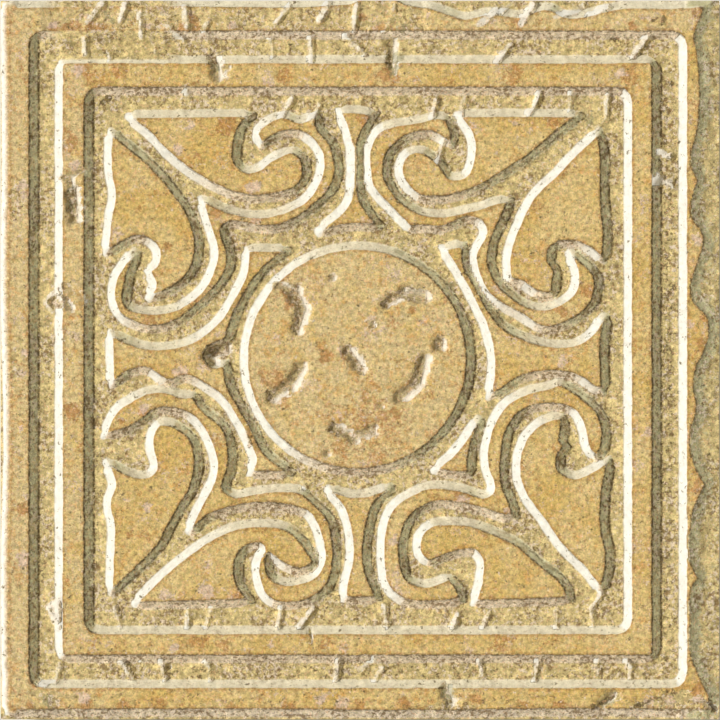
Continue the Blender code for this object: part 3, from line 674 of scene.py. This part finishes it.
class Nodes:
    """A short hand for building one material's node tree."""

    def __init__(self, name):
        self.material = bpy.data.materials.new(name)
        self.material.use_nodes = True
        self.tree = self.material.node_tree
        self.surface = self.tree.nodes["Principled BSDF"]

    def put(self, socket, value):
        if isinstance(value, bpy.types.NodeSocket):
            self.tree.links.new(value, socket)
        elif isinstance(value, tuple) and len(value) == 3 and socket.type == "RGBA":
            socket.default_value = (*value, 1.0)
        else:
            socket.default_value = value

    def add(self, kind, **inputs):
        node = self.tree.nodes.new(kind)
        for name, value in inputs.items():
            self.put(node.inputs[name.replace("_", " ")], value)
        return node

    def attribute(self, name):
        node = self.add("ShaderNodeAttribute")
        node.attribute_name = name
        return node.outputs["Fac"]

    def millimetres(self):
        """The place of each point in the object, in millimetres."""
        coordinates = self.add("ShaderNodeTexCoord").outputs["Object"]
        scaled = self.add("ShaderNodeVectorMath")
        scaled.operation = "SCALE"
        self.put(scaled.inputs[0], coordinates)
        scaled.inputs["Scale"].default_value = 1 / MM
        return scaled.outputs["Vector"]

    def patches(self, vector, size, detail=3.0, roughness=0.6, shift=0.0):
        """Cloudy values around 0.5, whose patches have the given size."""
        moved = self.add("ShaderNodeVectorMath")
        moved.operation = "ADD"
        self.put(moved.inputs[0], vector)
        moved.inputs[1].default_value = (shift, shift * 0.7, shift * 0.3)
        node = self.add("ShaderNodeTexNoise", Vector=moved.outputs["Vector"], Scale=1 / size,
                        Detail=detail, Roughness=roughness)
        return node.outputs["Fac"]

    def between(self, value, low, high, start=0.0, end=1.0):
        """A value's smooth rise from start to end while it goes from low to high."""
        node = self.add("ShaderNodeMapRange", Value=value)
        node.interpolation_type = "SMOOTHSTEP"
        node.inputs["From Min"].default_value = low
        self.put(node.inputs["From Max"], high)
        node.inputs["To Min"].default_value = start
        node.inputs["To Max"].default_value = end
        return node.outputs["Result"]

    def math(self, operation, a, b):
        node = self.add("ShaderNodeMath")
        node.operation = operation
        self.put(node.inputs[0], a)
        self.put(node.inputs[1], b)
        return node.outputs["Value"]

    def total(self, a, b):
        return self.math("ADD", a, b)

    def difference(self, a, b):
        return self.math("SUBTRACT", a, b)

    def product(self, a, b):
        return self.math("MULTIPLY", a, b)

    def larger(self, a, b):
        return self.math("MAXIMUM", a, b)

    def mix(self, share, a, b, blend="MIX"):
        """Colour a with a share of colour b laid over it."""
        node = self.add("ShaderNodeMix")
        node.data_type = "RGBA"
        node.blend_type = blend
        self.put(node.inputs[0], share)
        self.put(node.inputs[6], a)
        self.put(node.inputs[7], b)
        return node.outputs[2]

    def shaded(self, colour, shade):
        """A colour made darker or lighter by a value around 1."""
        grey = self.add("ShaderNodeCombineColor", Red=shade, Green=shade, Blue=shade)
        return self.mix(1.0, colour, grey.outputs[0], "MULTIPLY")

    def stained(self, colour, name, tint, drift, speck, most):
        """Colour with specks of a stain: many on its own places, a few where it drifts."""
        wanted = self.total(self.product(self.attribute(name), 0.34), drift)
        cover = self.between(self.total(wanted, speck), 0.60, 0.72, 0.0, most)
        return self.mix(cover, colour, tint)


# The cement's looks follow the cuts. These masks say how far a point is wall, floor or
# broken, and how rough it is. The walls that face the lamp, to the left or up, are drawn
# smooth, without grain, flecks or pits and with less bump: their plain colour is part of
# their painted highlight.
cement = Nodes("worn_ochre_cement")
where = cement.millimetres()
cut = cement.attribute("channel")
right = cement.attribute("facing_right")
up = cement.attribute("facing_up")
slack = cement.attribute("slack")
rounded = cement.attribute("rounded")
slumped = cement.attribute("slumped")
chipped = cement.attribute("broken")
worn_down = cement.attribute("worn")
on_side = cement.attribute("side")
cut_share = cement.between(cement.difference(cut, cement.product(rounded, 0.1)), 0.02,
                           cement.total(0.22, cement.product(rounded, 1.7)))
floor_share = cement.larger(cement.between(cut, WALL_RUN - 0.3, WALL_RUN + 0.35),
                            cement.product(slack, cut_share))
wall_share = cement.difference(cut_share, floor_share)
lamp_facing = cement.larger(cement.between(right, -0.6, -0.2, 1.0, 0.0),
                            cement.between(up, 0.5, 0.8, 0.0, 0.8))
lit_chip = cement.product(chipped, cement.between(right, -0.8, -0.2, 0.8, 0.0))
lit_smooth_wall = cement.larger(cement.product(wall_share, lamp_facing), lit_chip)
roughness = cement.difference(1.0, cement.product(lit_smooth_wall, 0.86))

# The uncut face: ochre in slow patches, faded in places, with small orange clouds.
OCHRE = (0.662, 0.456, 0.138)
OCHRE_PALE = (0.740, 0.560, 0.245)
OCHRE_FADED = (0.710, 0.550, 0.270)
OCHRE_ORANGE = (0.660, 0.350, 0.095)
colour = cement.mix(cement.between(cement.patches(where, 16), 0.35, 0.65), OCHRE, OCHRE_PALE)
faded = cement.total(cement.product(cement.attribute("pale"), 0.3),
                     cement.patches(where, 5, 4, 0.7, shift=61))
colour = cement.mix(cement.between(faded, 0.52, 0.78), colour, OCHRE_FADED)
orange = cement.between(cement.patches(where, 2.6, 5, 0.75, shift=47), 0.50, 0.66, 0.0, 0.75)
colour = cement.mix(orange, colour, OCHRE_ORANGE)

# The cut floors are paler and cloudy, and the worn end of the top margin resembles them.
CUT_FLOOR = (0.735, 0.580, 0.262)
floor_cloud = cement.patches(where, 2.2, 4, 0.7, shift=71)
floor_colour = cement.shaded(CUT_FLOOR, cement.between(floor_cloud, 0.35, 0.68, 0.72, 1.16))
worn_cloud = cement.total(worn_down, cement.patches(where, 3.5, 4, 0.7, shift=77))
colour = cement.mix(cement.between(worn_cloud, 1.34, 1.56), colour, floor_colour)

# Rust and salt come out of the cement in specks, and along the arris the face is rubbed
# down to a browner, orange rim.
OXIDE = (0.430, 0.180, 0.050)
BLOOM = (0.720, 0.540, 0.420)
RIM_TINT = (0.420, 0.210, 0.060)
oxide_drift = cement.between(cement.patches(where, 6, 4, 0.65, shift=31), 0.5, 0.75, 0.0, 0.22)
oxide_speck = cement.patches(where, 0.7, 4, 0.75, shift=41)
colour = cement.stained(colour, "oxide", OXIDE, oxide_drift, oxide_speck, 0.7)
bloom_drift = cement.between(cement.patches(where, 7, 4, 0.65, shift=57), 0.5, 0.75, 0.0, 0.24)
bloom_speck = cement.patches(where, 0.7, 4, 0.75, shift=67)
colour = cement.stained(colour, "bloom", BLOOM, bloom_drift, bloom_speck, 0.8)
rim_cloud = cement.total(cement.patches(where, 1.0, 4, 0.75, shift=51),
                         cement.between(cut, -1.3, -0.1, 0.0, 0.2))
colour = cement.mix(cement.between(rim_cloud, 0.60, 0.74, 0.0, 0.65), colour, RIM_TINT)

# The walls, and the rounded left rim, are pale, with light and shade painted on by which
# way they face: a painted highlight, whitest, where they face the lamp on the left; slightly
# darker and pinker where they face down than up; and painted shade, greener and patched
# with brown, where they face away to the right.
LIT_WALL = (0.840, 0.810, 0.710)
UP_WALL = (0.840, 0.760, 0.550)
DOWN_WALL = (0.860, 0.710, 0.510)
SHADE_SIDE_WALL = (0.810, 0.770, 0.480)
SHADE_SIDE_BROWN = (0.700, 0.560, 0.300)
wall_colour = cement.mix(cement.between(up, -0.3, 0.3), DOWN_WALL, UP_WALL)
wall_colour = cement.mix(cement.between(right, -0.75, -0.2), LIT_WALL, wall_colour)
shade_side_colour = cement.mix(cement.between(floor_cloud, 0.38, 0.54), SHADE_SIDE_BROWN, SHADE_SIDE_WALL)
wall_colour = cement.mix(cement.between(right, 0.2, 0.6), wall_colour, shade_side_colour)
wall_shade = cement.between(cement.patches(where, 1.8, 3, 0.6, shift=97), 0.3, 0.7, 0.90, 1.06)
wall_colour = cement.shaded(wall_colour, wall_shade)
colour = cement.mix(cut_share, colour, cement.mix(floor_share, wall_colour, floor_colour))

# The right edge has slumped. Near the arris, where it falls away from the lamp, it is
# painted a darker grey-green: painted shade.
LEDGE_SHADE_GREEN = (0.560, 0.520, 0.300)
ledge_shade = cement.total(cement.between(cut, 0.8, 4.5, 0.26, -0.09), floor_cloud)
ledge_colour = cement.mix(cement.between(ledge_shade, 0.44, 0.62), floor_colour, LEDGE_SHADE_GREEN)
colour = cement.mix(slumped, colour, ledge_colour)

# Ribs and breaks show bare pale cement, with a painted highlight on the side that faces the
# lamp and painted brown shade on the side away from it.
BARE_LIT = (0.860, 0.790, 0.660)
BARE_SHADED = (0.460, 0.370, 0.200)
broken_edge = cement.product(chipped, cement.patches(where, 1.4, 3, 0.7, shift=83))
broken_colour = cement.mix(cement.between(right, -0.6, 0.2), BARE_LIT, BARE_SHADED)
colour = cement.mix(cement.between(broken_edge, 0.16, 0.50, 0.0, 0.95), colour, broken_colour)

# Moss and soot lie on top of everything on the face. The sides are dull raw cement.
MOSS = (0.330, 0.320, 0.180)
# Its dark brown serves both for the soot and for the painted shade lines along the walls.
SOOT_AND_SHADE = (0.120, 0.082, 0.035)
RAW_SIDE = (0.560, 0.440, 0.250)
moss_speck = cement.patches(where, 1.6, 3, 0.7, shift=91)
colour = cement.stained(colour, "moss", MOSS, 0.0, moss_speck, 0.6)
colour = cement.stained(colour, "soot", SOOT_AND_SHADE, 0.0, moss_speck, 0.85)
colour = cement.mix(on_side, colour, RAW_SIDE)

# Sand: every grain is a little lighter or darker, yellower or pinker. Pale flecks and dark
# pits are few on the uncut face and many where it is cut, worn or broken. The walls that
# face the lamp get none of them, which keeps their painted highlight plain.
YELLOW_GRAIN = (0.600, 0.480, 0.170)
PINK_GRAIN = (0.760, 0.440, 0.230)
PINK_FLECK = (0.900, 0.740, 0.580)
DARK_PIT = (0.230, 0.135, 0.048)
coarse = cement.larger(cut_share, cement.product(worn_down, 0.8))
coarse = cement.larger(coarse, chipped)
coarse = cement.larger(coarse, on_side)
coarse = cement.product(coarse, cement.between(
    cement.patches(where, 9, 2, 0.5, shift=103), 0.38, 0.62, 0.35, 1.3))
tint_cloud = cement.patches(where, 0.8, 3, 0.7, shift=7)
yellow = cement.between(tint_cloud, 0.36, 0.46, 0.55, 0.0)
colour = cement.mix(cement.product(yellow, roughness), colour, YELLOW_GRAIN)
pink = cement.between(tint_cloud, 0.54, 0.64, 0.0, 0.55)
colour = cement.mix(cement.product(pink, roughness), colour, PINK_GRAIN)
grain = cement.between(cement.patches(where, 1.4, 5, 0.85, shift=3), 0.34, 0.66, 0.63, 1.34)
colour = cement.mix(roughness, colour, cement.shaded(colour, grain))
fleck_cloud = cement.total(cement.patches(where, 1.15, 3, 0.7, shift=23),
                           cement.product(coarse, 0.105))
fleck = cement.between(fleck_cloud, 0.62, 0.72, 0.0, 0.7)
colour = cement.mix(cement.product(fleck, roughness), colour, PINK_FLECK)
pit_cloud = cement.total(cement.patches(where, 1.15, 4, 0.7, shift=29),
                         cement.product(coarse, 0.085))
# More dark pits on the walls that face down, away from the lamp: painted shade.
down_wall_shade = cement.product(cement.between(up, -0.9, -0.5, 0.025, 0.0), wall_share)
pit = cement.between(cement.total(pit_cloud, down_wall_shade), 0.60, 0.71, 0.0, 0.78)
colour = cement.mix(cement.product(pit, roughness), colour, DARK_PIT)

# Painted shade: a thin broken dark line along the top of the walls that face right, away
# from the lamp, and along the far edge of the shadow they throw on the floor, and dots along
# the top of those that face down.
SHADOW_REACH = 2.9
shade_line_break = cement.between(cement.patches(where, 0.9, 3, 0.7, shift=37), 0.40, 0.56, 0.1, 1.0)
away_from_lamp = cement.larger(cement.between(right, -0.1, 0.6),
                          cement.between(up, -0.9, -0.4, 0.8, 0.0))
shade_top_line = cement.product(cement.between(cut, -0.35, 0.0), cement.between(cut, 0.3, 0.65, 1.0, 0.0))
shade_top_line = cement.product(shade_top_line, away_from_lamp)
shade_top_line = cement.product(shade_top_line, cement.difference(1.0, cement.product(slumped, 0.5)))
past_shadow = cement.difference(cut, cement.product(right, SHADOW_REACH))
shadow_edge_line = cement.product(cement.between(past_shadow, -0.7, -0.2),
                           cement.between(past_shadow, 0.0, 0.4, 1.0, 0.0))
shadow_edge_line = cement.product(shadow_edge_line, cement.between(right, 0.4, 0.8))
shadow_edge_line = cement.product(shadow_edge_line, cement.difference(1.0, slumped))
shade_lines = cement.product(cement.larger(shade_top_line, shadow_edge_line),
                      cement.difference(1.0, cement.larger(slack, rounded)))
shade_lines = cement.product(shade_lines, shade_line_break)
colour = cement.mix(cement.product(shade_lines, 0.9), colour, SOOT_AND_SHADE)
cement.put(cement.surface.inputs["Base Color"], colour)
cement.surface.inputs["Roughness"].default_value = 0.92
cement.surface.inputs["Specular IOR Level"].default_value = 0.25

# The sand also stands up from the surface, and pits and clods roughen the cut floors.
RELIEF_HEIGHT = 0.22
clods = cement.product(cement.patches(where, 1.2, 4, 0.7, shift=17),
                       cement.product(cement.product(coarse, roughness), 2.2))
sand = cement.product(cement.patches(where, 0.9, 5, 0.85, shift=13), roughness)
sunk_pits = cement.product(cement.product(pit, 0.4), roughness)
bump = cement.add("ShaderNodeBump", Height=cement.difference(cement.total(sand, clods), sunk_pits))
bump.inputs["Distance"].default_value = RELIEF_HEIGHT * MM
bump.inputs["Strength"].default_value = 1.0
cement.put(cement.surface.inputs["Normal"], bump.outputs["Normal"])
carved_tile_data.materials.append(cement.material)

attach(carved_tile, "root")
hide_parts("cement_tile")

# The floor: a plain pale sheet, far wider than the tile. It isn't part of the object.
SHEET_HALF = 6.0
SHEET_BELOW = 0.1 * MM
floor_mesh = bmesh.new()
bmesh.ops.create_grid(floor_mesh, x_segments=1, y_segments=1, size=SHEET_HALF)
bmesh.ops.translate(floor_mesh, verts=floor_mesh.verts, vec=(0, 0, -SHEET_BELOW))
floor_data = bpy.data.meshes.new("pale_floor")
floor_mesh.to_mesh(floor_data)
floor_mesh.free()
pale_floor = bpy.data.objects.new("pale_floor", floor_data)
bpy.context.scene.collection.objects.link(pale_floor)
floor_paint = bpy.data.materials.new("pale_floor_paint")
floor_paint.use_nodes = True
floor_surface = floor_paint.node_tree.nodes["Principled BSDF"]
floor_surface.inputs["Base Color"].default_value = (0.78, 0.77, 0.75, 1)
floor_surface.inputs["Roughness"].default_value = 0.8
floor_data.materials.append(floor_paint)

# The light: one low lamp from the left and a little from the far side, which draws the
# relief, with even light from all round to fill its shadows.
LAMP_HEIGHT = radians(40)
LAMP_BEARING = radians(172)
lamp_data = bpy.data.lights.new("low_lamp", "SUN")
lamp_data.energy = 3.0
lamp_data.angle = radians(4)
lamp = bpy.data.objects.new("low_lamp", lamp_data)
towards_lamp = Vector((
    cos(LAMP_BEARING) * cos(LAMP_HEIGHT), sin(LAMP_BEARING) * cos(LAMP_HEIGHT), sin(LAMP_HEIGHT)))
lamp.rotation_euler = towards_lamp.to_track_quat("Z", "Y").to_euler()
bpy.context.scene.collection.objects.link(lamp)
room = bpy.data.worlds.new("even_room")
room.use_nodes = True
room.node_tree.nodes["Background"].inputs["Color"].default_value = (1.0, 0.97, 0.86, 1)
room.node_tree.nodes["Background"].inputs["Strength"].default_value = 0.41
bpy.context.scene.world = room
bpy.context.scene.view_settings.view_transform = "Standard"

# The camera: straight above, with a long lens, so that the tile fills the picture.
CAMERA_DISTANCE = 3.0
AIM_HEIGHT = 0.0145
PICTURE_SIDE = 0.2004
SENSOR = 36
FURTHEST_SEEN = 20
camera_data = bpy.data.cameras.new("overhead")
camera_data.sensor_width = SENSOR
camera_data.lens = SENSOR * CAMERA_DISTANCE / PICTURE_SIDE
camera_data.clip_end = FURTHEST_SEEN
camera = bpy.data.objects.new("overhead", camera_data)
camera.location = (0, 0, AIM_HEIGHT + CAMERA_DISTANCE)
bpy.context.scene.collection.objects.link(camera)
bpy.context.scene.camera = camera
